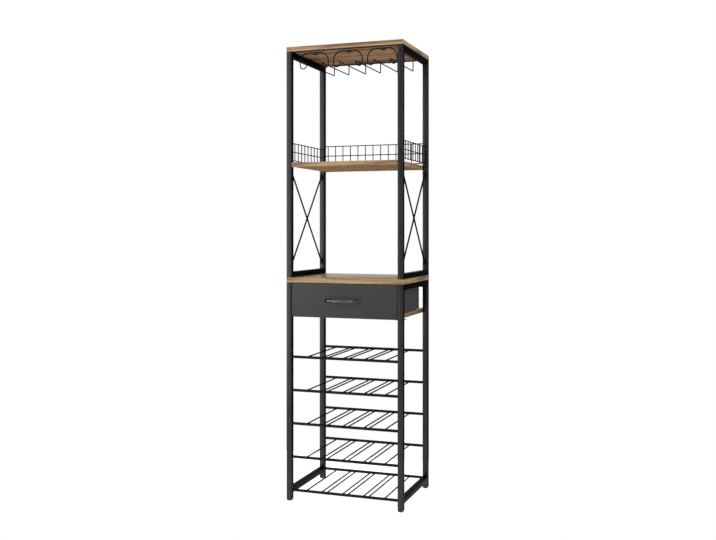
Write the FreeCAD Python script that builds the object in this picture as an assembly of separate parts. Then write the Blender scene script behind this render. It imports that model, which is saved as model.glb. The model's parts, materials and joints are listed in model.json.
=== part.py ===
import FreeCAD, Part
import math
import os

# An open wine rack tower in square steel tube: bottle racks below, a drawer under the counter,
# a railed shelf above it and glass hangers under the top board.
# Millimetres, +Z up, front towards -Y, origin on the floor at the middle of the outer box.

Vector = FreeCAD.Vector

# Footprint over the outer faces of the posts
width = 440.0
depth = 340.0

# Square steel tube
tube = 20.0
tube_wall = 1.5
tube_corner = 1.2

# Feet: domed plugs in the lower ends of the posts
foot_height = 10.0
foot_flat = 6.0
foot_stem = 18.0
foot_stem_clear = 0.2

# Heights, stacked from the floor to the top
bottom_rail_rise = 27.5
first_rack_rise = 39.0
rack_pitch = 120.4
rack_count = 5
top_layer_clear = 146.0
drawer_shelf_thickness = 16.0
drawer_bay = 107.4
counter_thickness = 18.0
display_clear = 399.0
shelf_thickness = 16.0
glass_clear = 401.0
top_thickness = 16.0

# Softened edges of the boards
edge_break = 0.8

# Bottle racks: two cross rails joined by pairs of wires, one bottle between each pair of wires
rack_rail = 10.0
rack_wire = 5.0
bottle_pitch = 79.0
cradle_gap = 58.5
bottles_per_rack = 4

# Wire guards round the upper shelf
guard_wire = 3.5
guard_pitch = 31.0
guard_end_margin = 12.0
guard_rise = 8.5
guard_levels = 3
guard_side_step = 31.5
guard_back_step = 37.5

# Crossed braces in the upper side frames, each with a tab at its four ends
brace_rod = 6.0
brace_tab_width = 14.0
brace_tab_height = 27.0
brace_tab_thickness = 2.5
brace_rod_inset = 5.0
brace_screw_inset = 6.0
brace_top_gap = 7.0
brace_bottom_gap = 15.5

# Glass hangers bent from one wire each
hanger_wire = 4.0
hanger_count = 3
hanger_pitch = 130.0
hanger_slot = 61.0
hanger_arch_width = 110.0
hanger_arch_round = 32.0
hanger_run_drop = 40.5
hanger_hook_drop = 58.0
hanger_bend = 5.0
hanger_front_inset = 45.0
hanger_rear_inset = 12.0
hanger_bar_width = 12.0
hanger_bar_thickness = 3.0
hanger_bar_margin = 12.0

# Steel strip under the front edge of the top board
front_strip_inset = 2.0
front_strip_width = 12.0
front_strip_thickness = 3.0

# Clips that hold the front arches to the top board
clip_length = 16.0
clip_front = 5.0
clip_back = 15.0
clip_height = 7.0
clip_slot_clear = 0.2

# Drawer
drawer_front_thickness = 18.0
drawer_gap = 2.0
drawer_stop_gap = 0.5
drawer_side_gap = 4.0
drawer_board = 12.0
drawer_top_gap = 18.0
drawer_rear_gap = 34.0
drawer_bottom_thickness = 4.0
drawer_groove = 5.0
drawer_groove_rise = 6.0
drawer_groove_clear = 0.2
glide_thickness = 1.5
glide_length = 40.0
dowel_diameter = 6.0
dowel_length = 30.0
dowel_in_front = 12.0
dowel_inset = 18.0

# Bow handle bent from round rod, its legs leaning in towards the grip
handle_rod = 10.0
handle_centres = 128.0
handle_grip = 96.0
handle_rise = 27.0
handle_bend = 50.0
handle_screw_grip = 8.0

# Brackets under the front corners of the drawer shelf
bracket_thickness = 2.0
bracket_drop = 24.0
bracket_depth = 26.0
bracket_inside = 24.0

# Round bars are many-sided, with fewer sides the more often they repeat
rail_sides = 12
bar_sides = 8
fastener_sides = 6
bend_steps = 3

# Fasteners
hole_clear = 0.15
bolt_shank = 5.0
bolt_head = 9.0
bolt_head_height = 1.4
rack_bolt_grip = 15.0
shelf_screw_grip = 30.0
brace_screw_tip = 6.0
joint_bolt_shank = 6.0
joint_bolt_head = 11.0
joint_bolt_head_height = 4.0
joint_bolt_tip = 2.0
joint_nut_width = 10.0
joint_nut_height = 5.0
wood_screw_shank = 4.0
wood_screw_head = 8.0
wood_screw_head_height = 1.8
wood_screw_bite = 11.0
small_screw_bite = 10.0
drawer_screw_length = 35.0
drawer_screw_inset = 16.0
handle_screw_shank = 4.0
side_fastener_span = 200.0

# Places worked out from the sizes above
handle_reach = handle_rise + handle_rod / 2
front_y = (handle_reach - depth) / 2
back_y = front_y + depth
middle_y = (front_y + back_y) / 2
front_post_y = front_y + tube / 2
rear_post_y = back_y - tube / 2
bay_front_y = front_y + tube
bay_back_y = back_y - tube
side_x = width / 2
post_x = side_x - tube / 2
inner_x = side_x - tube

rack_heights = [first_rack_rise + number * rack_pitch for number in range(rack_count)]
drawer_shelf_bottom = rack_heights[-1] + top_layer_clear
drawer_shelf_top = drawer_shelf_bottom + drawer_shelf_thickness
counter_bottom = drawer_shelf_top + drawer_bay
counter_top = counter_bottom + counter_thickness
shelf_bottom = counter_top + display_clear
shelf_top = shelf_bottom + shelf_thickness
top_bottom = shelf_top + glass_clear
top_top = top_bottom + top_thickness

side_signs = {"left": -1, "right": 1}
row_places = {"front": front_post_y, "rear": rear_post_y}
fastener_places = [middle_y - side_fastener_span / 2, middle_y + side_fastener_span / 2]

# Directions, and the share of a length or cosine below which a difference counts as none
edge_share = 0.01
x_axis = Vector(1, 0, 0)
y_axis = Vector(0, 1, 0)
z_axis = Vector(0, 0, 1)


# General shapes

def block(x_range, y_range, z_range):
    x_low, x_high = sorted(x_range)
    y_low, y_high = sorted(y_range)
    z_low, z_high = sorted(z_range)
    corner = Vector(x_low, y_low, z_low)
    return Part.makeBox(x_high - x_low, y_high - y_low, z_high - z_low, corner)


def centred(middle, size):
    return (middle - size / 2, middle + size / 2)


def edges_along(shape, axis):
    found = []
    for edge in shape.Edges:
        if abs(edge.tangentAt(edge.FirstParameter).dot(axis)) > 1 - edge_share:
            found.append(edge)
    return found


def round_section(diameter, middle, axis, sides):
    """A many-sided outline across the axis, its width across flats equal to the diameter."""
    across = x_axis if abs(axis.z) > edge_share else z_axis
    other = axis.cross(across)
    radius = diameter / 2 / math.cos(math.pi / sides)
    corners = []
    for number in range(sides + 1):
        angle = (number + 1 / 2) * 2 * math.pi / sides
        corners.append(middle + across * (radius * math.cos(angle)) + other * (radius * math.sin(angle)))
    return Part.makePolygon(corners)


def round_bar(diameter, start, axis, length, sides=bar_sides):
    return Part.Face(round_section(diameter, start, axis, sides)).extrude(axis * length)


def fastener(seat, axis, head, head_height, shank, length):
    """A screw or bolt whose head sits on the seat and whose shank runs along the axis."""
    top = round_bar(head, seat - axis * head_height, axis, head_height, fastener_sides)
    return top.fuse(round_bar(shank, seat, axis, length, fastener_sides))


def fastener_hole(seat, axis, shank, length):
    return round_bar(shank + 2 * hole_clear, seat, axis, length + hole_clear, fastener_sides)


def bent_rod(diameter, corners, bends, sides=bar_sides):
    """A rod through the corners: its section is carried along each run and turned round each bend."""
    section = round_section(diameter, corners[0], (corners[1] - corners[0]).normalize(), sides)
    sections = [section]
    last = corners[0]
    for number, bend in enumerate(bends, 1):
        corner = corners[number]
        before = (corner - corners[number - 1]).normalize()
        after = (corners[number + 1] - corner).normalize()
        turn = before.getAngle(after)
        setback = bend * math.tan(turn / 2)
        run = corner - before * setback - last
        if run.Length > bend * edge_share:
            section = section.translated(run)
            sections.append(section)
        last = corner + after * setback
        centre = corner + (after - before).normalize() * (bend / math.cos(turn / 2))
        for step in range(bend_steps):
            section = section.rotated(centre, before.cross(after), math.degrees(turn) / bend_steps)
            sections.append(section)
    sections.append(section.translated(corners[-1] - last))
    return Part.makeLoft(sections, True, True)


def board(x_range, y_range, z_range):
    panel = block(x_range, y_range, z_range)
    long_edges = edges_along(panel, x_axis) + edges_along(panel, y_axis)
    return panel.makeChamfer(edge_break, long_edges)


def square_tube(x_range, y_range, z_range, axis):
    outer = block(x_range, y_range, z_range)
    outer = outer.makeChamfer(tube_corner, edges_along(outer, axis))

    def bore(limits, along):
        low, high = sorted(limits)
        return (low, high) if along else (low + tube_wall, high - tube_wall)

    inner = block(bore(x_range, axis.x), bore(y_range, axis.y), bore(z_range, axis.z))
    return outer.cut(inner)


parts = {}


# Fastener seats, shared by the fasteners and by the holes that they pass through

rack_bolt_seats = []
for rack_height in rack_heights:
    for post_y in row_places.values():
        for sign in side_signs.values():
            rack_bolt_seats.append((Vector(sign * side_x, post_y, rack_height), x_axis * -sign))
rack_bolt_length = tube + rack_bolt_grip

shelf_screw_seats = []
for sign in side_signs.values():
    for post_y in row_places.values():
        seat = Vector(sign * side_x, post_y, shelf_bottom + shelf_thickness / 2)
        shelf_screw_seats.append((seat, x_axis * -sign))
    seat = Vector(sign * side_x, rear_post_y, drawer_shelf_bottom + drawer_shelf_thickness / 2)
    shelf_screw_seats.append((seat, x_axis * -sign))
shelf_screw_length = tube + shelf_screw_grip

top_rail_bottom = top_bottom - tube
top_screw_seats = []
joint_bolt_seats = []
for sign in side_signs.values():
    for place_y in fastener_places:
        top_screw_seats.append((Vector(sign * post_x, place_y, top_rail_bottom), z_axis))
        joint_bolt_seats.append((Vector(sign * post_x, place_y, counter_bottom - tube), z_axis))
top_screw_length = tube + wood_screw_bite
joint_nut_bottom = counter_top + tube_wall
joint_bolt_length = joint_nut_bottom + joint_nut_height + joint_bolt_tip - (counter_bottom - tube)

brace_low_tab = counter_top + tube + brace_bottom_gap
brace_high_tab = shelf_bottom - brace_top_gap - brace_tab_height
brace_low_rod = brace_low_tab + brace_rod_inset
brace_high_rod = brace_high_tab + brace_tab_height - brace_rod_inset
brace_low_screw = brace_low_tab + brace_tab_height - brace_screw_inset
brace_high_screw = brace_high_tab + brace_screw_inset
brace_screw_seats = []
for sign in side_signs.values():
    for screw_z in (brace_low_screw, brace_high_screw):
        front_seat = Vector(sign * post_x, bay_front_y + brace_tab_thickness, screw_z)
        rear_seat = Vector(sign * post_x, bay_back_y - brace_tab_thickness, screw_z)
        brace_screw_seats.append((front_seat, -y_axis))
        brace_screw_seats.append((rear_seat, y_axis))
brace_screw_length = brace_tab_thickness + tube_wall + brace_screw_tip

hanger_places = [(number - (hanger_count - 1) / 2) * hanger_pitch for number in range(hanger_count)]
hanger_front_y = front_y + hanger_front_inset
hanger_rear_y = back_y - hanger_rear_inset
clip_screw_y = hanger_front_y + (hanger_wire / 2 + clip_back) / 2
small_screw_seats = []
for place_x in hanger_places:
    small_screw_seats.append((Vector(place_x, clip_screw_y, top_bottom - clip_height), z_axis, clip_height))
front_strip_y = (front_y + front_strip_inset, front_y + front_strip_inset + front_strip_width)
for place_x in hanger_places:
    seat = Vector(place_x, sum(front_strip_y) / 2, top_bottom - front_strip_thickness)
    small_screw_seats.append((seat, z_axis, front_strip_thickness))
for left_x, right_x in zip(hanger_places, hanger_places[1:]):
    seat = Vector((left_x + right_x) / 2, hanger_rear_y, top_bottom - hanger_bar_thickness)
    small_screw_seats.append((seat, z_axis, hanger_bar_thickness))
for sign in side_signs.values():
    seat_x = sign * (inner_x - bracket_inside / 2)
    seat_y = bay_front_y + bracket_depth / 2
    seat = Vector(seat_x, seat_y, drawer_shelf_bottom - bracket_thickness)
    small_screw_seats.append((seat, z_axis, bracket_thickness))


def holes(seats, shank, length):
    return Part.makeCompound([fastener_hole(seat, axis, shank, length) for seat, axis in seats])


rack_bolt_holes = holes(rack_bolt_seats, bolt_shank, rack_bolt_length)
shelf_screw_holes = holes(shelf_screw_seats, bolt_shank, shelf_screw_length)
top_screw_holes = holes(top_screw_seats, wood_screw_shank, top_screw_length)
joint_bolt_holes = holes(joint_bolt_seats, joint_bolt_shank, joint_bolt_length)
brace_screw_holes = holes(brace_screw_seats, bolt_shank, brace_screw_length)
small_screw_holes = Part.makeCompound(
    [
        fastener_hole(seat, axis, wood_screw_shank, grip + small_screw_bite)
        for seat, axis, grip in small_screw_seats
    ]
)


# Feet

def foot(post_x_place, post_y_place):
    """A head of the post's own outline, rounded under its four sides, on a stem inside the tube."""
    head = block(centred(post_x_place, tube), centred(post_y_place, tube), (0, foot_height))
    floor_edges = [edge for edge in head.Edges if edge.BoundBox.ZMax < foot_height / 2]
    head = head.makeFillet((tube - foot_flat) / 2, floor_edges)
    stem_width = tube - 2 * tube_wall - 2 * foot_stem_clear
    stem_range = (foot_height, foot_height + foot_stem)
    stem = block(centred(post_x_place, stem_width), centred(post_y_place, stem_width), stem_range)
    return head.fuse(stem)


for row, post_y in row_places.items():
    for side, sign in side_signs.items():
        parts[f"foot_{row}_{side}"] = foot(sign * post_x, post_y)


# Posts and side rails of the lower and the upper frame

for row, post_y in row_places.items():
    for side, sign in side_signs.items():
        x_range = centred(sign * post_x, tube)
        y_range = centred(post_y, tube)
        lower = square_tube(x_range, y_range, (foot_height, counter_bottom), z_axis)
        parts[f"lower_post_{row}_{side}"] = lower.cut([rack_bolt_holes, shelf_screw_holes])
        upper = square_tube(x_range, y_range, (counter_top, top_bottom), z_axis)
        parts[f"upper_post_{row}_{side}"] = upper.cut([shelf_screw_holes, brace_screw_holes])

rail_heights = {
    "lower_rail_bottom": bottom_rail_rise,
    "lower_rail_top": counter_bottom - tube,
    "upper_rail_bottom": counter_top,
    "upper_rail_top": top_rail_bottom,
}
for rail, rail_z in rail_heights.items():
    for side, sign in side_signs.items():
        x_range = centred(sign * post_x, tube)
        bar = square_tube(x_range, (bay_front_y, bay_back_y), (rail_z, rail_z + tube), y_axis)
        parts[f"{rail}_{side}"] = bar.cut([joint_bolt_holes, top_screw_holes])


# Boards

full_x = (-side_x, side_x)
inside_x = (-inner_x, inner_x)
full_y = (front_y, back_y)
drawer_front_back_y = front_y + drawer_front_thickness

parts["counter_board"] = board(full_x, full_y, (counter_bottom, counter_top)).cut(joint_bolt_holes)
parts["top_board"] = board(full_x, full_y, (top_bottom, top_top)).cut([top_screw_holes, small_screw_holes])
parts["upper_shelf"] = board(inside_x, full_y, (shelf_bottom, shelf_top)).cut(shelf_screw_holes)
drawer_shelf_y = (drawer_front_back_y + drawer_stop_gap, back_y)
drawer_shelf = board(inside_x, drawer_shelf_y, (drawer_shelf_bottom, drawer_shelf_top))
parts["drawer_shelf"] = drawer_shelf.cut([shelf_screw_holes, small_screw_holes])


# Brackets that carry the drawer shelf's front corners on the front posts

brackets = []
for sign in side_signs.values():
    plate_z = (drawer_shelf_bottom - bracket_thickness, drawer_shelf_bottom)
    plate_x = (sign * (inner_x - bracket_inside), sign * (side_x - tube_corner))
    plate = block(plate_x, (bay_front_y, bay_front_y + bracket_depth), plate_z)
    leg_x = (sign * (inner_x + tube_corner), sign * (side_x - tube_corner))
    leg_z = (drawer_shelf_bottom - bracket_drop, drawer_shelf_bottom - bracket_thickness)
    leg = block(leg_x, (bay_front_y, bay_front_y + bracket_thickness), leg_z)
    brackets.append(plate.fuse(leg).cut(small_screw_holes))
parts["drawer_shelf_brackets"] = Part.makeCompound(brackets)


# Bottle racks: the wires are butted between the front and the rear rail

cradle_places = [(number - (bottles_per_rack - 1) / 2) * bottle_pitch for number in range(bottles_per_rack)]
wire_places = []
for cradle_x in cradle_places:
    wire_places.extend([cradle_x - cradle_gap / 2, cradle_x + cradle_gap / 2])


def wine_rack(rack_height):
    pieces = []
    for post_y in row_places.values():
        start = Vector(-inner_x, post_y, rack_height)
        rail = round_bar(rack_rail, start, x_axis, 2 * inner_x, rail_sides)
        pieces.append(rail.cut(rack_bolt_holes))
    wire_start = front_post_y + rack_rail / 2
    wire_length = rear_post_y - front_post_y - rack_rail
    for wire_x in wire_places:
        pieces.append(round_bar(rack_wire, Vector(wire_x, wire_start, rack_height), y_axis, wire_length))
    return Part.makeCompound(pieces)


for number, rack_height in enumerate(rack_heights, 1):
    parts[f"wine_rack_{number}"] = wine_rack(rack_height)


# Wire guards: level wires between the posts, uprights welded to their inner side

def upright_places(span):
    count = int((span - 2 * guard_end_margin) / guard_pitch) + 1
    return [(number - (count - 1) / 2) * guard_pitch for number in range(count)]


def wire_guard(middle, along, inward, span, step):
    pieces = []
    for level in range(guard_levels):
        level_z = shelf_top + guard_rise + level * step
        start = middle - along * (span / 2) + z_axis * level_z
        pieces.append(round_bar(guard_wire, start, along, span))
    upright_low = shelf_top + guard_rise - guard_wire / 2
    upright_length = (guard_levels - 1) * step + guard_wire
    for place in upright_places(span):
        start = middle + along * place + inward * guard_wire + z_axis * upright_low
        pieces.append(round_bar(guard_wire, start, z_axis, upright_length))
    return Part.makeCompound(pieces)


side_span = bay_back_y - bay_front_y
for side, sign in side_signs.items():
    guard_middle = Vector(sign * post_x, middle_y, 0)
    parts[f"guard_{side}"] = wire_guard(guard_middle, y_axis, x_axis * -sign, side_span, guard_side_step)
parts["guard_back"] = wire_guard(Vector(0, rear_post_y, 0), x_axis, -y_axis, 2 * inner_x, guard_back_step)


# Braces: a falling rod and a rising one in two halves that are welded to it where they cross, with
# each end welded to a flat tab that is screwed to a post

def brace_bar(place_x, front_z, rear_z):
    front_end = Vector(place_x, bay_front_y, front_z)
    rear_end = Vector(place_x, bay_back_y, rear_z)
    along = (rear_end - front_end).normalize()
    length = (rear_end - front_end).Length + 2 * brace_rod
    bar = round_bar(brace_rod, front_end - along * brace_rod, along, length)
    return bar.common(block(centred(place_x, tube), (bay_front_y, bay_back_y), (counter_top, shelf_bottom)))


def brace(place_x, front_tab, rear_tab, front_z, rear_z):
    tab_x = centred(place_x, brace_tab_width)
    front_range = (bay_front_y, bay_front_y + brace_tab_thickness)
    rear_range = (bay_back_y - brace_tab_thickness, bay_back_y)
    front = block(tab_x, front_range, (front_tab, front_tab + brace_tab_height))
    rear = block(tab_x, rear_range, (rear_tab, rear_tab + brace_tab_height))
    return brace_bar(place_x, front_z, rear_z).fuse([front, rear]).cut(brace_screw_holes)


for side, sign in side_signs.items():
    falling = brace(sign * post_x, brace_high_tab, brace_low_tab, brace_high_rod, brace_low_rod)
    rising = brace(sign * post_x, brace_low_tab, brace_high_tab, brace_low_rod, brace_high_rod)
    parts[f"brace_{side}_falling"] = falling
    parts[f"brace_{side}_rising"] = rising.cut(falling)


# Glass hangers: rear riser, run, hook, front arch and back again, bent from one wire

def glass_hanger(place_x):
    arch_z = top_bottom - hanger_wire / 2
    run_z = top_bottom - hanger_run_drop
    hook_z = top_bottom - hanger_hook_drop
    bar_z = top_bottom - hanger_bar_thickness
    run_x = hanger_slot / 2
    leg_x = hanger_arch_width / 2
    hook_bend = (leg_x - run_x) / 2
    half = [
        (run_x, hanger_rear_y, bar_z),
        (run_x, hanger_rear_y, run_z),
        (run_x, hanger_front_y, run_z),
        (run_x, hanger_front_y, hook_z),
        (leg_x, hanger_front_y, hook_z),
        (leg_x, hanger_front_y, arch_z),
    ]
    half_bends = [hanger_bend, hanger_bend, hook_bend, hook_bend, hanger_arch_round]
    corners = [Vector(place_x - x, y, z) for x, y, z in half]
    corners += [Vector(place_x + x, y, z) for x, y, z in reversed(half)]
    return bent_rod(hanger_wire, corners, half_bends + half_bends[::-1])


hanger_names = ["left", "middle", "right"]
for name, place_x in zip(hanger_names, hanger_places):
    parts[f"glass_hanger_{name}"] = glass_hanger(place_x)

bar_reach = hanger_places[-1] + hanger_slot / 2 + hanger_bar_margin
hanger_bar = block(
    (-bar_reach, bar_reach),
    centred(hanger_rear_y, hanger_bar_width),
    (top_bottom - hanger_bar_thickness, top_bottom),
)
parts["glass_hanger_bar"] = hanger_bar.cut(small_screw_holes)


front_strip = block((-inner_x, inner_x), front_strip_y, (top_bottom - front_strip_thickness, top_bottom))
parts["top_front_strip"] = front_strip.cut(small_screw_holes)


def hanger_clip(place_x):
    clip_y = (hanger_front_y - clip_front, hanger_front_y + clip_back)
    body = block(centred(place_x, clip_length), clip_y, (top_bottom - clip_height, top_bottom))
    slot = hanger_wire + 2 * clip_slot_clear
    slot_z = (top_bottom - hanger_wire - clip_slot_clear, top_bottom)
    channel = block(centred(place_x, clip_length), centred(hanger_front_y, slot), slot_z)
    return body.cut([channel, small_screw_holes])


parts["glass_hanger_clips"] = Part.makeCompound([hanger_clip(place_x) for place_x in hanger_places])


# Drawer: a front panel on a box of thin boards, with a bottom held in grooves

panel_x = inner_x - drawer_gap
box_x = inner_x - drawer_side_gap
box_inner_x = box_x - drawer_board
box_back_y = bay_back_y - drawer_rear_gap
box_bottom = drawer_shelf_top + glide_thickness
box_top = counter_bottom - drawer_top_gap
floor_z = box_bottom + drawer_groove_rise
floor_top = floor_z + drawer_bottom_thickness
groove_z = (floor_z, floor_top + drawer_groove_clear)
handle_z = (drawer_shelf_bottom + counter_bottom) / 2

groove = block(
    centred(0, 2 * (box_inner_x + drawer_groove + drawer_groove_clear)),
    (drawer_front_back_y - drawer_groove - drawer_groove_clear, box_back_y),
    groove_z,
)

dowel_start_y = drawer_front_back_y - dowel_in_front
dowel_places = []
for sign in side_signs.values():
    for dowel_z in (floor_top + dowel_inset, box_top - dowel_inset):
        dowel_places.append(Vector(sign * (box_x - drawer_board / 2), dowel_start_y, dowel_z))
dowel_holes = Part.makeCompound(
    [
        round_bar(
            dowel_diameter + 2 * hole_clear,
            place - y_axis * hole_clear,
            y_axis,
            dowel_length + 2 * hole_clear,
            fastener_sides,
        )
        for place in dowel_places
    ]
)

drawer_screw_seats = []
for sign in side_signs.values():
    for screw_z in (floor_top + drawer_screw_inset, box_top - drawer_screw_inset):
        seat = Vector(sign * (box_x - wood_screw_head_height), box_back_y - drawer_board / 2, screw_z)
        drawer_screw_seats.append((seat, x_axis * -sign))
drawer_screw_holes = holes(drawer_screw_seats, wood_screw_shank, drawer_screw_length)
drawer_screw_sinks = Part.makeCompound(
    [
        round_bar(wood_screw_head + 2 * hole_clear, seat, -axis, wood_screw_head_height, fastener_sides)
        for seat, axis in drawer_screw_seats
    ]
)

handle_lean = (handle_centres - handle_grip) / 2 / handle_rise
handle_screw_x = handle_centres / 2 - handle_lean * handle_screw_grip / 2
handle_screw_seats = []
for sign in side_signs.values():
    seat = Vector(sign * handle_screw_x, drawer_front_back_y, handle_z)
    handle_screw_seats.append((seat, -y_axis))
handle_screw_length = drawer_front_thickness + handle_screw_grip
handle_screw_holes = holes(handle_screw_seats, handle_screw_shank, handle_screw_length)

panel_z = (drawer_shelf_bottom, counter_bottom - drawer_gap)
panel = board((-panel_x, panel_x), (front_y, drawer_front_back_y), panel_z)
parts["drawer_front"] = panel.cut([groove, dowel_holes, handle_screw_holes])

for side, sign in side_signs.items():
    side_range = (sign * box_inner_x, sign * box_x)
    wall = block(side_range, (drawer_front_back_y, box_back_y), (box_bottom, box_top))
    parts[f"drawer_side_{side}"] = wall.cut([groove, dowel_holes, drawer_screw_holes, drawer_screw_sinks])

back_wall_y = (box_back_y - drawer_board, box_back_y)
back_wall = block((-box_inner_x, box_inner_x), back_wall_y, (floor_top, box_top))
parts["drawer_back"] = back_wall.cut([drawer_screw_holes])

floor_x = box_inner_x + drawer_groove
floor_y = (drawer_front_back_y - drawer_groove, box_back_y)
parts["drawer_bottom"] = block((-floor_x, floor_x), floor_y, (floor_z, floor_top))

glides = []
for sign in side_signs.values():
    for glide_y in (drawer_shelf_y[0], box_back_y - glide_length):
        side_range = (sign * box_inner_x, sign * box_x)
        glides.append(block(side_range, (glide_y, glide_y + glide_length), (drawer_shelf_top, box_bottom)))
parts["drawer_glides"] = Part.makeCompound(glides)

leg_root_x = handle_centres / 2 + handle_lean * handle_rod
handle_corners = [
    Vector(-leg_root_x, front_y + handle_rod, handle_z),
    Vector(-handle_grip / 2, front_y - handle_rise, handle_z),
    Vector(handle_grip / 2, front_y - handle_rise, handle_z),
    Vector(leg_root_x, front_y + handle_rod, handle_z),
]
handle = bent_rod(handle_rod, handle_corners, [handle_bend, handle_bend], rail_sides)
handle = handle.common(block(full_x, (front_y - depth, front_y), panel_z))
parts["drawer_handle"] = handle.cut(handle_screw_holes)


# Fasteners, each kind in one group

def fasteners(seats, head, head_height, shank, length):
    solids = [fastener(seat, axis, head, head_height, shank, length) for seat, axis in seats]
    return Part.makeCompound(solids)


parts["rack_bolts"] = fasteners(rack_bolt_seats, bolt_head, bolt_head_height, bolt_shank, rack_bolt_length)
parts["shelf_screws"] = fasteners(
    shelf_screw_seats, bolt_head, bolt_head_height, bolt_shank, shelf_screw_length
)
parts["brace_screws"] = fasteners(
    brace_screw_seats, bolt_head, bolt_head_height, bolt_shank, brace_screw_length
)
parts["top_board_screws"] = fasteners(
    top_screw_seats, wood_screw_head, wood_screw_head_height, wood_screw_shank, top_screw_length
)
parts["frame_joint_bolts"] = fasteners(
    joint_bolt_seats, joint_bolt_head, joint_bolt_head_height, joint_bolt_shank, joint_bolt_length
)
parts["drawer_back_screws"] = fasteners(
    drawer_screw_seats, wood_screw_head, wood_screw_head_height, wood_screw_shank, drawer_screw_length
)
parts["handle_screws"] = fasteners(
    handle_screw_seats, wood_screw_head, wood_screw_head_height, handle_screw_shank, handle_screw_length
)
parts["small_wood_screws"] = Part.makeCompound(
    [
        fastener(
            seat, axis, wood_screw_head, wood_screw_head_height, wood_screw_shank, grip + small_screw_bite
        )
        for seat, axis, grip in small_screw_seats
    ]
)
parts["drawer_dowels"] = Part.makeCompound(
    [round_bar(dowel_diameter, place, y_axis, dowel_length, fastener_sides) for place in dowel_places]
)

nuts = []
for seat, axis in joint_bolt_seats:
    nut_start = Vector(seat.x, seat.y, joint_nut_bottom)
    nut = round_bar(joint_nut_width, nut_start, z_axis, joint_nut_height, fastener_sides)
    nuts.append(nut.cut(joint_bolt_holes))
parts["frame_joint_nuts"] = Part.makeCompound(nuts)


# One file for each sub-part

os.makedirs("parts", exist_ok=True)
for name, shape in parts.items():
    shape.exportStep(f"parts/{name}.step")
print(len(parts), "parts, outer height", top_top)
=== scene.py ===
# %% [markdown]
# # A wine rack tower with a drawer
# This lesson dresses a tall open rack of square steel tube: bottle racks below, a drawer under the
# counter, a railed shelf above it and wire hangers for stemmed glasses under the top board. The
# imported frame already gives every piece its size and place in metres. Blender adds what the eye
# looks for: rounded tube corners, bent and welded wire, screw heads, wood grain and coatings.
# The front faces -Y, +Z is up, and the origin is on the floor under the middle of the rack.

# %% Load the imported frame
import json
import math

import bmesh
import bpy
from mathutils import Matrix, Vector


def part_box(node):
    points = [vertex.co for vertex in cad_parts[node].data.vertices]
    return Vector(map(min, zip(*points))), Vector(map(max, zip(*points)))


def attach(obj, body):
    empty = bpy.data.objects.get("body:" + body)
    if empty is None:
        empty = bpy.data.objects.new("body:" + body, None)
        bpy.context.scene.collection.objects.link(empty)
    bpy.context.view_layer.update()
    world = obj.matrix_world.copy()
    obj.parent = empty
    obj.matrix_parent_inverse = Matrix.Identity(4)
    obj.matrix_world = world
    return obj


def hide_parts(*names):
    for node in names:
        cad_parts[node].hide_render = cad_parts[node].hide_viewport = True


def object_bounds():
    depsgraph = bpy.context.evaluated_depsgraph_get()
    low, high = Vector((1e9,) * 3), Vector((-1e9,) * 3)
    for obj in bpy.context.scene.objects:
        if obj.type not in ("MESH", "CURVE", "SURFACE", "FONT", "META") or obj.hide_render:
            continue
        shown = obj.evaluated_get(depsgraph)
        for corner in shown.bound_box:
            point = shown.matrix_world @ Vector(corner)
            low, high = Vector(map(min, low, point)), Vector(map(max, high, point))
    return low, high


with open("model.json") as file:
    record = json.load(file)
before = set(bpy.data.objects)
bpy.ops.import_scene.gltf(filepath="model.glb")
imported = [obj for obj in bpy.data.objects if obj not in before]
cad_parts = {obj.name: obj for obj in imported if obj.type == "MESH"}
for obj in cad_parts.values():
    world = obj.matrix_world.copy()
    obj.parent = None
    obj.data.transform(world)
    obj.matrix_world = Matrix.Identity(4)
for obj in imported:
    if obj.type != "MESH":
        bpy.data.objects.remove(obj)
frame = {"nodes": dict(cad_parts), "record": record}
cad_low, cad_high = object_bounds()
scene = bpy.context.scene
scene.view_settings.view_transform = "Standard"
print("frame loaded,", len(frame["nodes"]), "pieces, height", round(cad_high.z, 3))

# %% [markdown]
# ## Camera
# The picture was taken from the right of the front, at about the height of the counter's display
# bay. The posts stay upright in it, so the camera is level, and a small shift frames the object
# where a tilt would make the posts lean.

# %% Camera
camera_place = Vector((1.1573, -3.2406, 0.9842))
camera_turn = math.radians(19.653)
upright = math.radians(90)
bpy.ops.object.camera_add(location=camera_place, rotation=(upright, 0, camera_turn))
camera = bpy.context.object
camera.name = "photo_camera"
camera.data.sensor_fit = "HORIZONTAL"
camera.data.sensor_width = 36
camera.data.lens = 46.85
camera.data.shift_y = -0.0579
scene.camera = camera
look = Vector((-math.sin(camera_turn), math.cos(camera_turn), 0))
look_right = Vector((math.cos(camera_turn), math.sin(camera_turn), 0))
print("camera", round(camera_place.xy.length, 2), "m from the middle")

# %% [markdown]
# ## Studio
# Black steel shows mostly what it reflects, so the room matters as much as the coat. A picture of
# a real studio could stand in for it, but a few numbers are easier to steer. The room is bright on
# the side of the key light, dark on the other, and has a lit floor in front for the undersides.

# %% Node helpers
def add_node(tree, kind, inputs=None, **settings):
    """A node with its settings and inputs. An input is a value or another node's output."""
    node = tree.nodes.new(kind)
    for name, value in settings.items():
        setattr(node, name, value)
    for name, value in (inputs or {}).items():
        if isinstance(value, bpy.types.NodeSocket):
            tree.links.new(value, node.inputs[name])
        else:
            node.inputs[name].default_value = value
    return node


def math_of(tree, operation, first, second=0.0):
    return add_node(tree, "ShaderNodeMath", {0: first, 1: second}, operation=operation).outputs[0]


def sum_of(tree, first, *others):
    for other in others:
        first = math_of(tree, "ADD", first, other)
    return first


def product_of(tree, first, *others):
    for other in others:
        first = math_of(tree, "MULTIPLY", first, other)
    return first


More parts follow.
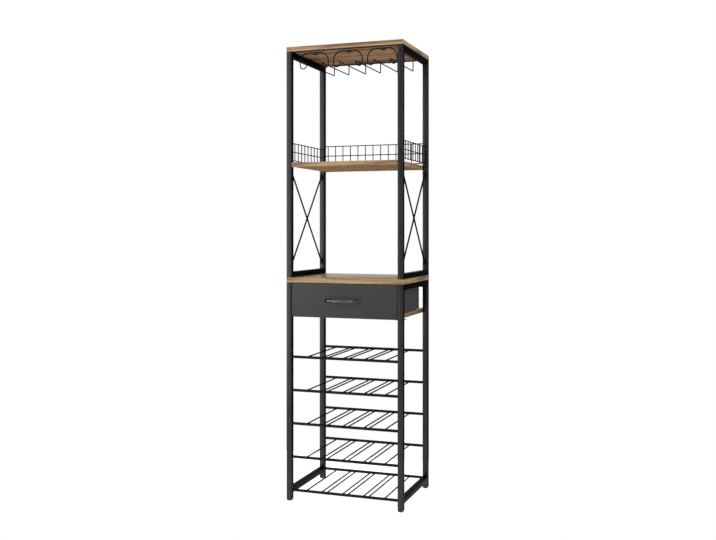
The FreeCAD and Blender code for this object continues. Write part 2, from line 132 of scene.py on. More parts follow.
def spread(tree, value, source, target):
    """Maps a value from the source range to the target range, smoothly and without leaving it."""
    inputs = {"Value": value}
    inputs["From Min"], inputs["From Max"] = source
    inputs["To Min"], inputs["To Max"] = target
    node = add_node(tree, "ShaderNodeMapRange", inputs, interpolation_type="SMOOTHSTEP")
    return node.outputs["Result"]


def ray_is(tree, *kinds):
    """1 for rays of one of these kinds, 0 for others."""
    path = add_node(tree, "ShaderNodeLightPath")
    return sum_of(tree, *[path.outputs[f"Is {kind} Ray"] for kind in kinds])


print("node helpers ready")

# %% Room light
z_axis = Vector((0, 0, 1))
toward_key = Vector((-0.62, -0.62, 0.48)).normalized()
room_range = (0.16, 0.57)
floor_level = 0.6
floor_rise = (-0.2, 0.0)
floor_reach = (-0.8, 0.2)

world = bpy.data.worlds.new("studio")
scene.world = world
world.use_nodes = True
tree = world.node_tree
background = tree.nodes["Background"]
background.inputs["Color"].default_value = (1, 1, 1, 1)
direction = add_node(tree, "ShaderNodeTexCoord").outputs["Generated"]


def direction_along(tree, axis):
    """How far the ray's direction runs along an axis."""
    inputs = {0: direction, 1: axis}
    return add_node(tree, "ShaderNodeVectorMath", inputs, operation="DOT_PRODUCT").outputs["Value"]


ahead = direction_along(tree, look)
upward = direction_along(tree, z_axis)
downward = spread(tree, upward, floor_rise, (1, 0))
toward_camera = spread(tree, ahead, floor_reach, (floor_level, 0))
walls = spread(tree, direction_along(tree, toward_key), (-1, 1), room_range)
room = sum_of(tree, walls, product_of(tree, downward, toward_camera))
print("room light from", room_range[0], "to", room_range[1])

# %% [markdown]
# ### Backdrop
# The camera sees white all round. Reflections see a white backdrop behind the object that is just
# as wide and high as the picture, so faces turned away from the camera look past it into the dark.
# Its two numbers are the slopes of the lines of sight to the picture's side and top edges. A white
# wall would do the same, but it would also light the object from behind.

# %% Backdrop in the reflections
backdrop_side = 0.387
backdrop_top = 0.2458
backdrop_fade = 0.003
side_slope = math_of(tree, "DIVIDE", direction_along(tree, look_right), ahead)
side_slope = math_of(tree, "ABSOLUTE", side_slope)
up_slope = math_of(tree, "DIVIDE", upward, ahead)
within_width = spread(tree, side_slope, (backdrop_side, backdrop_side + backdrop_fade), (1, 0))
within_height = spread(tree, up_slope, (backdrop_top, backdrop_top + backdrop_fade), (1, 0))
in_front = math_of(tree, "GREATER_THAN", ahead, 0.0)
above_floor = math_of(tree, "GREATER_THAN", upward, 0.0)
backdrop = product_of(tree, within_width, within_height, in_front, above_floor)
mirrored_backdrop = product_of(tree, backdrop, ray_is(tree, "Glossy", "Transmission"))
seen = sum_of(tree, ray_is(tree, "Camera"), mirrored_backdrop)
level = add_node(tree, "ShaderNodeMix", {0: seen, 2: room, 3: 1.0})
tree.links.new(level.outputs[0], background.inputs["Strength"])
print("backdrop", round(2 * backdrop_side, 3), "m wide for each metre ahead")

# %% [markdown]
# ### Floor
# The floor is a pale sheet of paper under the object. It glows only for the camera and in
# reflections, so it looks white and keeps the object's shadow, and its glow lights no matt face.

# %% Floor
floor_size = 1.1
floor_glow = 0.82
paper_tone = 0.60
bpy.ops.object.select_all(action="DESELECT")
bpy.ops.mesh.primitive_plane_add(size=floor_size)
floor = bpy.context.object
floor.name = "studio_floor"
paper = bpy.data.materials.new("studio_paper")
paper.use_nodes = True
tree = paper.node_tree
sheet = tree.nodes["Principled BSDF"]
sheet.inputs["Base Color"].default_value = (paper_tone, paper_tone, paper_tone, 1)
sheet.inputs["Roughness"].default_value = 0.9
sheet.inputs["Specular IOR Level"].default_value = 0
sheet.inputs["Emission Color"].default_value = (1, 1, 1, 1)
seen = ray_is(tree, "Camera", "Glossy", "Transmission")
tree.links.new(product_of(tree, seen, floor_glow), sheet.inputs["Emission Strength"])
floor.data.materials.append(paper)
print("floor", floor_size, "m across")

# %% [markdown]
# ### Lamps
# Five soft boxes light the tower: a key from the left front, a top light, weak fills from the front
# and the right, and one on the left whose reflection is the bright end of the drawer's handle.
# Large lamps are used because small ones would draw hard shadows of every wire.

# %% Lamps
def soft_box(name, place, aim, size, watts):
    """A rectangular lamp that faces the aim."""
    turn = (Vector(aim) - Vector(place)).to_track_quat("-Z", "Y").to_euler()
    bpy.ops.object.light_add(type="AREA", location=place, rotation=turn)
    lamp = bpy.context.object
    lamp.name = name
    lamp.data.shape = "RECTANGLE"
    lamp.data.size, lamp.data.size_y = size
    lamp.data.energy = watts
    lamp.visible_camera = False


tower_middle = (0, 0, (cad_low.z + cad_high.z) / 2)
soft_box("key_box", place=(-1.62, -1.78, 1.15), aim=(0, 0, 0.9), size=(1.8, 2.1), watts=22)
soft_box("top_box", place=(-0.3, 0.1, 4.4), aim=tower_middle, size=(2.2, 2.2), watts=58)
soft_box("front_box", place=(1.2, -4.4, 2.0), aim=tower_middle, size=(2.0, 2.0), watts=17)
soft_box("glint_box", place=(-2.5, -0.1, 1.0), aim=(0, 0, 0.73), size=(1.6, 1.0), watts=30)
soft_box("right_box", place=(2.3, 0.1, 1.2), aim=(0, 0, 1.0), size=(1.2, 1.8), watts=14)
print("five soft boxes")

# %% [markdown]
# ## Finishes
# Every finish is a node tree on the object's own coordinates, so that it stays on the piece when
# the drawer moves. Each has one large, slow change and one fine grain, in metres. Pictures of real
# surfaces could be used too, but nodes have no seams and no size to run out of.

# %% Finish helpers
noise_span = (0.3, 0.7)


def new_finish(name, **constants):
    """A material with constant shader sockets set straight on its Principled node."""
    finish = bpy.data.materials.new(name)
    finish.use_nodes = True
    surface = finish.node_tree.nodes["Principled BSDF"]
    for socket, value in constants.items():
        surface.inputs[socket.replace("_", " ")].default_value = value
    return finish, finish.node_tree, surface


def object_place(tree, scale=(1, 1, 1), location=(0, 0, 0)):
    """The object's own coordinates, stretched for patterns that run along one direction."""
    place = add_node(tree, "ShaderNodeTexCoord").outputs["Object"]
    inputs = {"Vector": place, "Scale": scale, "Location": location}
    return add_node(tree, "ShaderNodeMapping", inputs).outputs["Vector"]


def noise(tree, place, scale, detail=2.0, distortion=0.0):
    inputs = {"Vector": place, "Scale": scale, "Detail": detail, "Distortion": distortion}
    return add_node(tree, "ShaderNodeTexNoise", inputs).outputs["Fac"]


def shades(tree, value, stops):
    """A colour ramp with the given stops of position and colour."""
    ramp = add_node(tree, "ShaderNodeValToRGB", {"Fac": value})
    elements = ramp.color_ramp.elements
    while len(elements) < len(stops):
        elements.new(0.5)
    for element, (position, colour) in zip(elements, stops):
        element.position = position
        element.color = (*colour, 1)
    return ramp.outputs["Color"]


def shaded(tree, colour, shade, share):
    """A colour multiplied by a shade, as far as the share says."""
    inputs = {0: share, 6: colour, 7: shade}
    node = add_node(tree, "ShaderNodeMix", inputs, data_type="RGBA", blend_type="MULTIPLY")
    return node.outputs[2]


def dress(tree, surface, colour, rough):
    """Links a colour and a roughness to the shader."""
    tree.links.new(colour, surface.inputs["Base Color"])
    tree.links.new(rough, surface.inputs["Roughness"])


def raised(tree, surface, height, strength, depth):
    """Fine relief on the surface, as deep as the depth in metres."""
    inputs = {"Height": height, "Strength": strength, "Distance": depth}
    relief = add_node(tree, "ShaderNodeBump", inputs)
    tree.links.new(relief.outputs["Normal"], surface.inputs["Normal"])


print("finish helpers ready")

# %% [markdown]
# ### Powder coat
# The tubes and wires are coated in black powder that is baked on. It flows into a faint orange
# peel: low hills about a millimetre apart, with a gloss that changes a little from place to place.
# A fine noise gives the hills, a slow one the change of tone. The shader is a dark metal with a
# grey tint at its edges, because a dark plastic turns white where it is seen at a low angle.

# %% Powder coat on tube and wire
edge_shine = (0.39, 0.39, 0.39, 1)


def powder_coat(name, dark, light, gloss, peel_scale, peel_depth):
    finish, tree, surface = new_finish(name, Metallic=1.0, Specular_Tint=edge_shine)
    place = object_place(tree)
    slow = noise(tree, place, scale=9, detail=3)
    fine = noise(tree, place, scale=peel_scale)
    slow_tone = spread(tree, slow, noise_span, (0, 0.7))
    fine_tone = spread(tree, fine, (0.35, 0.65), (0, 0.3))
    colour = shades(tree, sum_of(tree, slow_tone, fine_tone), [(0.0, dark), (1.0, light)])
    dress(tree, surface, colour, spread(tree, slow, noise_span, gloss))
    raised(tree, surface, fine, strength=0.35, depth=peel_depth)
    return finish


tube_coat = powder_coat(
    "black_powder_coat",
    dark=(0.034, 0.034, 0.035),
    light=(0.042, 0.042, 0.043),
    gloss=(0.24, 0.32),
    peel_scale=850,
    peel_depth=0.00008,
)
# The wires carry the same black powder as the tubes. This copy is darker, a painted shade that
# keeps the thin wires dark.
shaded_wire_coat = powder_coat(
    "black_wire_coat",
    dark=(0.014, 0.014, 0.0145),
    light=(0.020, 0.020, 0.0205),
    gloss=(0.30, 0.38),
    peel_scale=1200,
    peel_depth=0.00005,
)
print(tube_coat.name, shaded_wire_coat.name)

# %% [markdown]
# ### Wood boards
# The boards are faced with a warm oak pattern whose grain runs along the width of the rack, and the
# band on the short edges runs along those edges instead. So the coordinates are stretched along X,
# or along Y where the surface itself faces left or right. Broad streaks carry the colour, fine
# fibres and short dark pores lie over them. The undersides are matt, and a painted shade makes
# them a little darker and redder.
# Each board reads the pattern at its own place, as boards cut from one sheet do. The drawer shelf
# reads its edge band where the pattern is dark, a painted shade for that edge, which lies in shade.

# %% Oak boards
grain_stretch = (1.1, 13, 13)
band_stretch = (13, 1.1, 13)
squarely = 0.7
underside_gloss = (0.80, 0.90)
# Painted shade: faces that look down are multiplied darker and redder by this colour.
painted_underside_shade = (0.97, 0.86, 0.84, 1)


def oak(name, dark, middle, light, gloss, grain_place, band_place):
    finish, tree, surface = new_finish(name, Specular_IOR_Level=0.35)
    normal = add_node(tree, "ShaderNodeTexCoord").outputs["Normal"]
    facing = add_node(tree, "ShaderNodeSeparateXYZ", {0: normal}).outputs
    on_edge = math_of(tree, "GREATER_THAN", math_of(tree, "ABSOLUTE", facing["X"]), squarely)
    below = math_of(tree, "LESS_THAN", facing["Z"], -squarely)
    along_x = object_place(tree, grain_stretch, grain_place)
    along_y = object_place(tree, band_stretch, band_place)
    ways = {0: on_edge, 4: along_x, 5: along_y}
    grain = add_node(tree, "ShaderNodeMix", ways, data_type="VECTOR").outputs[1]
    streaks = noise(tree, grain, scale=2.6, detail=5, distortion=0.5)
    fibres = noise(tree, grain, scale=24, detail=4)
    pores = noise(tree, grain, scale=60)
    colour = shades(tree, streaks, [(0.38, dark), (0.50, middle), (0.61, light)])
    fibre_shade = shades(tree, fibres, [(0.30, (0.78, 0.76, 0.73)), (0.62, (1.04, 1.04, 1.04))])
    pore_shade = shades(tree, pores, [(0.30, (0.66, 0.60, 0.54)), (0.42, (1, 1, 1))])
    colour = shaded(tree, colour, fibre_shade, share=0.75)
    colour = shaded(tree, colour, pore_shade, share=0.6)
    # Painted shade on the undersides, darker and redder.
    colour = shaded(tree, colour, painted_underside_shade, share=below)
    upper_rough = spread(tree, fibres, noise_span, gloss)
    under_rough = spread(tree, fibres, noise_span, underside_gloss)
    rough = add_node(tree, "ShaderNodeMix", {0: below, 2: upper_rough, 3: under_rough})
    dress(tree, surface, colour, rough.outputs[0])
    raised(tree, surface, sum_of(tree, fibres, pores), strength=0.25, depth=0.00012)
    return finish


oak_tones = ((0.201, 0.106, 0.044), (0.450, 0.287, 0.146), (0.584, 0.410, 0.233))
oak_gloss = (0.27, 0.39)
grain_places = {
    "counter_board": ((8.4, 0, 5.5), (0, 0.37, 0)),
    "upper_shelf": ((2.9, 0, 1.6), (0, 0.37, 0)),
    "top_board": ((2.9, 0, 1.6), (0, 0.37, 0)),
    # Painted shade: the drawer shelf's edge band is read at a dark place of the pattern.
    "drawer_shelf": ((2.9, 0, 1.6), (0, 7.4, 2.8)),
}
board_oak = {}
for node, (grain_place, band_place) in grain_places.items():
    board_oak[node] = oak(f"{node}_oak", *oak_tones, oak_gloss, grain_place, band_place)
beech_tones = ((0.46, 0.30, 0.18), (0.56, 0.39, 0.25), (0.64, 0.47, 0.32))
dowel_beech = oak("beech_dowel", *beech_tones, (0.6, 0.7), (0, 0, 0), (0, 0, 0))
print(len(board_oak), "boards of oak,", dowel_beech.name)

# %% [markdown]
# ### Drawer panel, dark chrome, plastics and screws
# The drawer is faced in a matt anthracite laminate with a pearled surface. The board of its box is
# the same laminate a shade lighter, a painted light for its sides, which stand in shade. Its handle
# is dark chrome: a metal, so its colour is the colour of its reflections. Feet, clips and glides
# are moulded plastic with a spark-eroded grain, and the screws are blackened steel.

# %% Laminate, chrome, plastics and screw steel
laminate_gloss = (0.52, 0.66)
drawn_stretch = (1, 8, 8)


def laminate(name, dark, light):
    finish, tree, surface = new_finish(name, Specular_IOR_Level=0.3)
    place = object_place(tree)
    pearl = noise(tree, place, scale=520, detail=3)
    slow = noise(tree, place, scale=7)
    slow_tone = spread(tree, slow, noise_span, (0, 0.5))
    pearl_tone = spread(tree, pearl, noise_span, (0, 0.5))
    colour = shades(tree, sum_of(tree, slow_tone, pearl_tone), [(0.0, dark), (1.0, light)])
    dress(tree, surface, colour, spread(tree, pearl, noise_span, laminate_gloss))
    raised(tree, surface, pearl, strength=0.4, depth=0.00010)
    return finish


def grained(tree, surface, grain, dark, light, gloss):
    """One grain for both the colour and the roughness."""
    colour = shades(tree, grain, [(noise_span[0], dark), (noise_span[1], light)])
    dress(tree, surface, colour, spread(tree, grain, noise_span, gloss))


def bare_metal(name, dark, light, gloss, grain_scale):
    finish, tree, surface = new_finish(name, Metallic=1.0)
    grain = noise(tree, object_place(tree, drawn_stretch), grain_scale, detail=3)
    grained(tree, surface, grain, dark, light, gloss)
    return finish


def moulded(name, dark, light, gloss, grain_scale):
    finish, tree, surface = new_finish(name, Specular_IOR_Level=0.4)
    grain = noise(tree, object_place(tree), grain_scale)
    grained(tree, surface, grain, dark, light, gloss)
    raised(tree, surface, grain, strength=0.3, depth=0.00008)
    return finish


drawer_grey = laminate("anthracite_laminate", (0.034, 0.034, 0.0325), (0.042, 0.0415, 0.040))
# Painted light: the box's laminate is lighter than the front's, for its sides that stand in shade.
lit_box_grey = laminate("lit_anthracite_box_board", (0.052, 0.052, 0.050), (0.064, 0.0635, 0.061))
dark_chrome = bare_metal(
    "dark_chrome", (0.105, 0.105, 0.107), (0.135, 0.135, 0.138), gloss=(0.05, 0.09), grain_scale=40
)
screw_steel = bare_metal(
    "black_screw_steel", (0.020, 0.020, 0.022), (0.040, 0.040, 0.043), (0.34, 0.48), grain_scale=300
)
nut_zinc = bare_metal(
    "zinc_nut", (0.48, 0.48, 0.46), (0.62, 0.62, 0.60), gloss=(0.28, 0.42), grain_scale=220
)
foot_plastic = moulded(
    "foot_plastic", (0.010, 0.010, 0.010), (0.018, 0.018, 0.018), gloss=(0.5, 0.65), grain_scale=900
)
clip_plastic = moulded(
    "clip_plastic", (0.020, 0.018, 0.016), (0.032, 0.029, 0.026), (0.42, 0.55), grain_scale=900
)
glide_nylon = moulded(
    "glide_nylon", (0.60, 0.59, 0.55), (0.70, 0.69, 0.65), gloss=(0.45, 0.55), grain_scale=700
)
print(len(bpy.data.materials), "materials in the file")

# %% [markdown]
# ## Working by hand in code
# The helpers below do what the hand does at the screen: clear the selection, enter edit mode, pick
# faces or edges by place or direction, and leave a finished piece at the origin with its place in
# its mesh, riding on the frame or on the drawer.

# %% Selecting and editing
smooth_angle = math.radians(35)
merge_distance = 1e-6
nearly = 0.9


def clear_selection():
    if bpy.context.object and bpy.context.object.mode != "OBJECT":
        bpy.ops.object.mode_set(mode="OBJECT")
    bpy.ops.object.select_all(action="DESELECT")


def make_active(piece):
    clear_selection()
    piece.select_set(True)
    bpy.context.view_layer.objects.active = piece


def settle(piece):
    """Moves the piece's place, turn and size into its mesh."""
    make_active(piece)
    bpy.ops.object.transform_apply(location=True, rotation=True, scale=True)


def edit(piece, kind="FACE"):
    make_active(piece)
    bpy.ops.object.mode_set(mode="EDIT")
    bpy.ops.mesh.select_mode(type=kind)
    bpy.ops.mesh.select_all(action="DESELECT")


def pick(test, kind="faces"):
    """Selects only the faces or edges that pass the test."""
    bpy.ops.mesh.select_all(action="DESELECT")
    mesh = bmesh.from_edit_mesh(bpy.context.object.data)
    for part in getattr(mesh, kind):
        if test(part):
            part.select_set(True)
    mesh.select_flush_mode()
    bmesh.update_edit_mesh(bpy.context.object.data)


def run_of(edge):
    return (edge.verts[1].co - edge.verts[0].co).normalized()


print("editing helpers ready")

# %% Starting, copying and finishing a piece
drawer_nodes = frame["record"]["behaviour"]["bodies"]["drawer"]


def new_block(size, place):
    """A cube with its size and place in its mesh, as the start of a piece."""
    clear_selection()
    bpy.ops.mesh.primitive_cube_add(size=1, location=place, scale=size)
    piece = bpy.context.object
    settle(piece)
    return piece


def block_at(node):
    """A cube at the size and place of a node."""
    low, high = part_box(node)
    return new_block(high - low, (low + high) / 2)


def bar_between(start, end, diameter, sides_count):
    """A round bar from start to end, as the start of a wire, a rail or a rod."""
    line = end - start
    middle = (start + end) / 2
    turn = z_axis.rotation_difference(line).to_euler()
    clear_selection()
    bpy.ops.mesh.primitive_cylinder_add(
        vertices=sides_count, radius=diameter / 2, depth=line.length, location=middle, rotation=turn
    )
    piece = bpy.context.object
    settle(piece)
    return piece


def apply_modifier(piece, kind, **settings):
    make_active(piece)
    modifier = piece.modifiers.new(kind.lower(), kind)
    for name, value in settings.items():
        setattr(modifier, name, value)
    bpy.ops.object.modifier_apply(modifier=modifier.name)


def joined(pieces):
    """Joins the pieces to the first one."""
    clear_selection()
    for piece in pieces:
        piece.select_set(True)
    bpy.context.view_layer.objects.active = pieces[0]
    bpy.ops.object.join()
    return pieces[0]


def copy_of(piece, offset=(0, 0, 0)):
    """A copy with its own mesh, moved by the offset."""
    make_active(piece)
    bpy.ops.object.duplicate()
    copy = bpy.context.object
    copy.location = offset
    settle(copy)
    return copy


def hand_over(piece, name, finish, slot, *nodes):
    """Names and coats a finished piece, shades it and lets it stand for its nodes of the frame."""
    settle(piece)
    piece.name = name
    piece.data.name = name
    piece.data.materials.clear()
    piece.data.materials.append(finish)
    bpy.ops.object.shade_smooth_by_angle(angle=smooth_angle)
    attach(piece, "drawer" if nodes[0] in drawer_nodes else "frame")
    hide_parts(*nodes)


print(len(drawer_nodes), "nodes ride on the drawer")

# %% [markdown]
# ## Frame tubes
# Posts and side rails are cut from square tube with rounded corners. A cube gives the outer size,
# a bevel on the four long edges gives the rolled corners, the two ends are opened, and Solidify
# gives the wall. Solid bars would look alike from outside, but the plugs of the feet and the nuts
# sit in the hollow.

# %% Square tubes
tube_wall = 0.0015
tube_corner = 0.0018
corner_steps = 4
y_axis = Vector((0, 1, 0))


def square_tube(node, axis):
    piece = block_at(node)
    edit(piece, "EDGE")
    pick(lambda part: abs(run_of(part).dot(axis)) > nearly, "edges")
    bpy.ops.mesh.bevel(offset=tube_corner, segments=corner_steps, affect="EDGES")
    bpy.ops.mesh.select_mode(type="FACE")
    pick(lambda part: abs(part.normal.dot(axis)) > nearly)
    bpy.ops.mesh.delete(type="FACE")
    bpy.ops.object.mode_set(mode="OBJECT")
    apply_modifier(piece, "SOLIDIFY", thickness=tube_wall, offset=-1)
    hand_over(piece, node + "_tube", tube_coat, "frame_steel", node)


sides = ("left", "right")
rows = ("front", "rear")
tiers = ("lower", "upper")
post_names = [f"{tier}_post_{row}_{side}" for tier in tiers for row in rows for side in sides]
rail_ends = ("lower_rail_bottom", "lower_rail_top", "upper_rail_bottom", "upper_rail_top")
rail_names = [f"{rail}_{side}" for rail in rail_ends for side in sides]
for node in post_names:
    square_tube(node, z_axis)
for node in rail_names:
    square_tube(node, y_axis)
print(len(post_names), "posts and", len(rail_names), "side rails")

# %% [markdown]
# ## Boards
# The four boards and the drawer's front are panels with edges that are only just softened. A cube
# at the panel's size and a narrow rounded bevel on all its edges give the thin highlight that a
# sharp box lacks.

# %% Counter, shelves, top and drawer front
board_round = 0.0008
laminate_round = 0.0004


def panel(node, finish, slot, edge_round):
    piece = block_at(node)
    edit(piece, "EDGE")
    bpy.ops.mesh.select_all(action="SELECT")
    bpy.ops.mesh.bevel(offset=edge_round, segments=3, affect="EDGES")
    bpy.ops.object.mode_set(mode="OBJECT")
    hand_over(piece, node + "_panel", finish, slot, node)


for node, finish in board_oak.items():
    panel(node, finish, "board_wood", board_round)
panel("drawer_front", drawer_grey, "drawer_panel", laminate_round)
print("five panels")

# %% [markdown]
# ## Small flat pieces
# The drawer's box, the brackets, the hanger bar, the front strip, the clips and the glides have
# grooves and holes that the frame already holds. Cutting them again would only repeat its sizes. A
# merged copy of each node keeps them, and a bevel on its sharp edges takes the knife edge off.

# %% Softened copies of the frame's small pieces
flat_angle = math.radians(1)
sharp_angle = math.radians(50)


def softened(node, width, finish, slot):
    piece = bpy.data.objects.new(node + "_piece", frame["nodes"][node].data.copy())
    scene.collection.objects.link(piece)
    edit(piece)
    bpy.ops.mesh.select_all(action="SELECT")
    bpy.ops.mesh.remove_doubles(threshold=merge_distance)
    bpy.ops.mesh.dissolve_limited(angle_limit=flat_angle)
    bpy.ops.object.mode_set(mode="OBJECT")
    settings = {"width": width, "segments": 2, "limit_method": "ANGLE", "angle_limit": sharp_angle}
    apply_modifier(piece, "BEVEL", **settings)
    hand_over(piece, node + "_piece", finish, slot, node)


box_nodes = ("drawer_side_left", "drawer_side_right", "drawer_back", "drawer_bottom")
for node in box_nodes:
    softened(node, width=0.0002, finish=lit_box_grey, slot="drawer_panel")
softened("drawer_shelf_brackets", width=0.0004, finish=tube_coat, slot="frame_steel")
softened("glass_hanger_bar", width=0.0005, finish=tube_coat, slot="frame_steel")
softened("top_front_strip", width=0.0005, finish=tube_coat, slot="frame_steel")
softened("glass_hanger_clips", width=0.0006, finish=clip_plastic, slot="clip_plastic")
softened("drawer_glides", width=0.0003, finish=glide_nylon, slot="glide_nylon")
print("nine softened pieces")

# %% [markdown]
# ## Bottle racks
# A rack is two round rails with eight thin wires butted between them. The wire is welded, so it
# spreads a little where it meets the rail. An Array could repeat the wires, but their gaps are of
# two sizes, so one rail and one wire are modelled, copied into a rack, and the rack is copied to
# each of the five heights.

# %% Welded wire
weld_length = 0.0016
weld_spread = 1.45


def spread_end(piece, place, outward):
    """Extrudes the round end of a bar outwards and widens it, as a weld does."""
    edit(piece)
    pick(lambda part: len(part.verts) > 4 and part.normal.dot(outward) > nearly)
    weld = outward * weld_length
    bpy.ops.mesh.extrude_region_move(TRANSFORM_OT_translate={"value": weld})
    wider = (weld_spread, weld_spread, weld_spread)
    bpy.ops.transform.resize(value=wider, center_override=place + weld)
    bpy.ops.object.mode_set(mode="OBJECT")


def welded_wire(start, end, diameter, sides_count):
    """A straight wire whose two ends spread into their welds."""
    along = (end - start).normalized()
    wire_start = start + along * weld_length
    wire_end = end - along * weld_length
    piece = bar_between(wire_start, wire_end, diameter, sides_count)
    spread_end(piece, wire_end, along)
    spread_end(piece, wire_start, -along)
    return piece


print("welds", weld_length * 1000, "mm long")

# %% One rack
rail_sides = 24
wire_sides = 14
rack_rail = 0.010
rack_wire = 0.005
bottle_pitch = 0.079
cradle_gap = 0.0585
bottles = 4
wire_overlap = 0.0004

rack_low, rack_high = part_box("wine_rack_1")
rack_height = (rack_low.z + rack_high.z) / 2
front_rail_y = rack_low.y + rack_rail / 2
rear_rail_y = rack_high.y - rack_rail / 2
front_rail = welded_wire(
    Vector((rack_low.x, front_rail_y, rack_height)),
    Vector((rack_high.x, front_rail_y, rack_height)),
    rack_rail,
    rail_sides,
)
rear_rail = copy_of(front_rail, (0, rear_rail_y - front_rail_y, 0))
rack_pieces = [front_rail, rear_rail]
first_wire_x = -(bottles - 1) / 2 * bottle_pitch - cradle_gap / 2
wire_reach = rack_rail / 2 - wire_overlap
first_wire = welded_wire(
    Vector((first_wire_x, front_rail_y + wire_reach, rack_height)),
    Vector((first_wire_x, rear_rail_y - wire_reach, rack_height)),
    rack_wire,
    wire_sides,
)
for bottle in range(bottles):
    for wire_offset in (0, cradle_gap):
        rack_pieces.append(copy_of(first_wire, (bottle * bottle_pitch + wire_offset, 0, 0)))
bpy.data.objects.remove(first_wire)
rack = joined(rack_pieces)
print("one rack of", len(rack_pieces), "bars")

# %% Five racks
rack_names = [f"wine_rack_{number}" for number in range(1, 6)]
racks = [rack]
for node in rack_names[1:]:
    racks.append(copy_of(rack, (0, 0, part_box(node)[0].z - rack_low.z)))
for node, piece in zip(rack_names, racks):
    hand_over(piece, node + "_wires", shaded_wire_coat, "wire_steel", node)
print(len(racks), "racks")

# %% [markdown]
# ## Guards round the upper shelf
# Each guard is a welded wire panel: three level wires from post to post and a row of uprights on
# their inner side. An upright is a short bar with rounded ends, because its cut ends are deburred.
# A Wireframe modifier on a grid would be quicker, but its wires would all lie in one plane.

# %% Wire guards
guard_wire = 0.0035
guard_pitch = 0.031
guard_levels = 3
guard_sides = 12
guard_margin = 0.012
cut_round = 0.3
x_axis = Vector((1, 0, 0))


def rounded_bar(start, end, diameter, sides_count):
    """A straight wire with both cut ends rounded."""
    piece = bar_between(start, end, diameter, sides_count)
    edit(piece, "EDGE")
    along = (end - start).normalized()
    pick(lambda part: abs(run_of(part).dot(along)) < 1 - nearly, "edges")
    bpy.ops.mesh.bevel(offset=diameter * cut_round, segments=3, affect="EDGES")
    bpy.ops.object.mode_set(mode="OBJECT")
    return piece


def wire_guard(node, along, inward):
    low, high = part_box(node)
    middle = (low + high) / 2
    wire_place = middle - inward * (guard_wire / 2)
    half_span = (high - low).dot(along) / 2
    level_step = (high.z - low.z - guard_wire) / (guard_levels - 1)
    low_wire_z = low.z + guard_wire / 2
    start = Vector((*(wire_place - along * half_span).xy, low_wire_z))
    end = Vector((*(wire_place + along * half_span).xy, low_wire_z))
    first_level = welded_wire(start, end, guard_wire, guard_sides)
    pieces = [copy_of(first_level, (0, 0, step * level_step)) for step in range(1, guard_levels)]
    pieces.insert(0, first_level)
    upright_place = middle + inward * (guard_wire / 2)
    foot_point = Vector((*upright_place.xy, low.z))
    head_point = Vector((*upright_place.xy, high.z))
    upright = rounded_bar(foot_point, head_point, guard_wire, guard_sides)
    count = int(2 * (half_span - guard_margin) / guard_pitch) + 1
    for number in range(count):
        pieces.append(copy_of(upright, along * ((number - (count - 1) / 2) * guard_pitch)))
    bpy.data.objects.remove(upright)
    hand_over(joined(pieces), node + "_wires", shaded_wire_coat, "wire_steel", node)
    return count


uprights = [
    wire_guard("guard_left", y_axis, x_axis),
    wire_guard("guard_right", y_axis, -x_axis),
    wire_guard("guard_back", x_axis, -y_axis),
]
print("guards with", uprights, "uprights")

# %% [markdown]
# ## Bent wire
# The glass hangers and the drawer's handle are bent on a former: a straight run, a bend, the next
# run. The mesh is made the same way. A circle is extruded along each run and spun round the middle
# of each bend, so the section stays round and the bends are true arcs.

# %% Bending a wire
bend_steps = 10


def bent_wire(corners, bends, diameter, sides_count):
    turn = z_axis.rotation_difference(corners[1] - corners[0]).to_euler()
    clear_selection()
    bpy.ops.mesh.primitive_circle_add(
        vertices=sides_count, radius=diameter / 2, location=corners[0], rotation=turn
    )
    piece = bpy.context.object
    settle(piece)
    edit(piece, "VERT")
    bpy.ops.mesh.select_all(action="SELECT")
    last = corners[0]
    for number, bend in enumerate(bends, 1):
        corner = corners[number]
        before = (corner - corners[number - 1]).normalized()
        after = (corners[number + 1] - corner).normalized()
        angle = before.angle(after)
        setback = bend * math.tan(angle / 2)
        run = corner - before * setback - last
        if run.length > merge_distance:
            bpy.ops.mesh.extrude_region_move(TRANSFORM_OT_translate={"value": run})
        middle = corner + (after - before).normalized() * (bend / math.cos(angle / 2))
        axis = before.cross(after).normalized()
        bpy.ops.mesh.spin(steps=bend_steps, angle=-angle, center=middle, axis=axis)
        last = corner + after * setback
    bpy.ops.mesh.extrude_region_move(TRANSFORM_OT_translate={"value": corners[-1] - last})
    bpy.ops.mesh.select_all(action="SELECT")
    bpy.ops.mesh.remove_doubles(threshold=merge_distance)
    bpy.ops.mesh.fill_holes(sides=0)
    bpy.ops.mesh.normals_make_consistent(inside=False)
    bpy.ops.object.mode_set(mode="OBJECT")
    return piece


print("each bend in", bend_steps, "steps")

# %% [markdown]
# ## Glass hangers
# Stemmed glasses hang upside down with their feet on two wires. Each hanger is one wire with ten
# bends: from the rear bar down, forward along the slot, round a hook, up into the arch under the
# board and back the same way. Half of the route is listed, its mirror image completes it, and the
# outer hangers are copies of the middle one.

# %% Glass hangers
hanger_wire = 0.004
hanger_sides = 16
hanger_slot = 0.061
hanger_bend = 0.005
arch_round = 0.032
run_drop = 0.0405
hanger_low, hanger_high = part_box("glass_hanger_middle")
bar_low, bar_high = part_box("glass_hanger_bar")
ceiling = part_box("top_board")[0].z
rear_y = (bar_low.y + bar_high.y) / 2
front_y = hanger_low.y + hanger_wire / 2
leg_x = hanger_high.x - hanger_wire / 2
hook_z = hanger_low.z + hanger_wire / 2
run_x = hanger_slot / 2
run_z = ceiling - run_drop
half_route = [
    Vector((run_x, rear_y, bar_low.z)),
    Vector((run_x, rear_y, run_z)),
    Vector((run_x, front_y, run_z)),
    Vector((run_x, front_y, hook_z)),
    Vector((leg_x, front_y, hook_z)),
    Vector((leg_x, front_y, ceiling - hanger_wire / 2)),
]
other_half = [Vector((-point.x, point.y, point.z)) for point in half_route]
hook_round = (leg_x - run_x) / 2
half_bends = [hanger_bend, hanger_bend, hook_round, hook_round, arch_round]
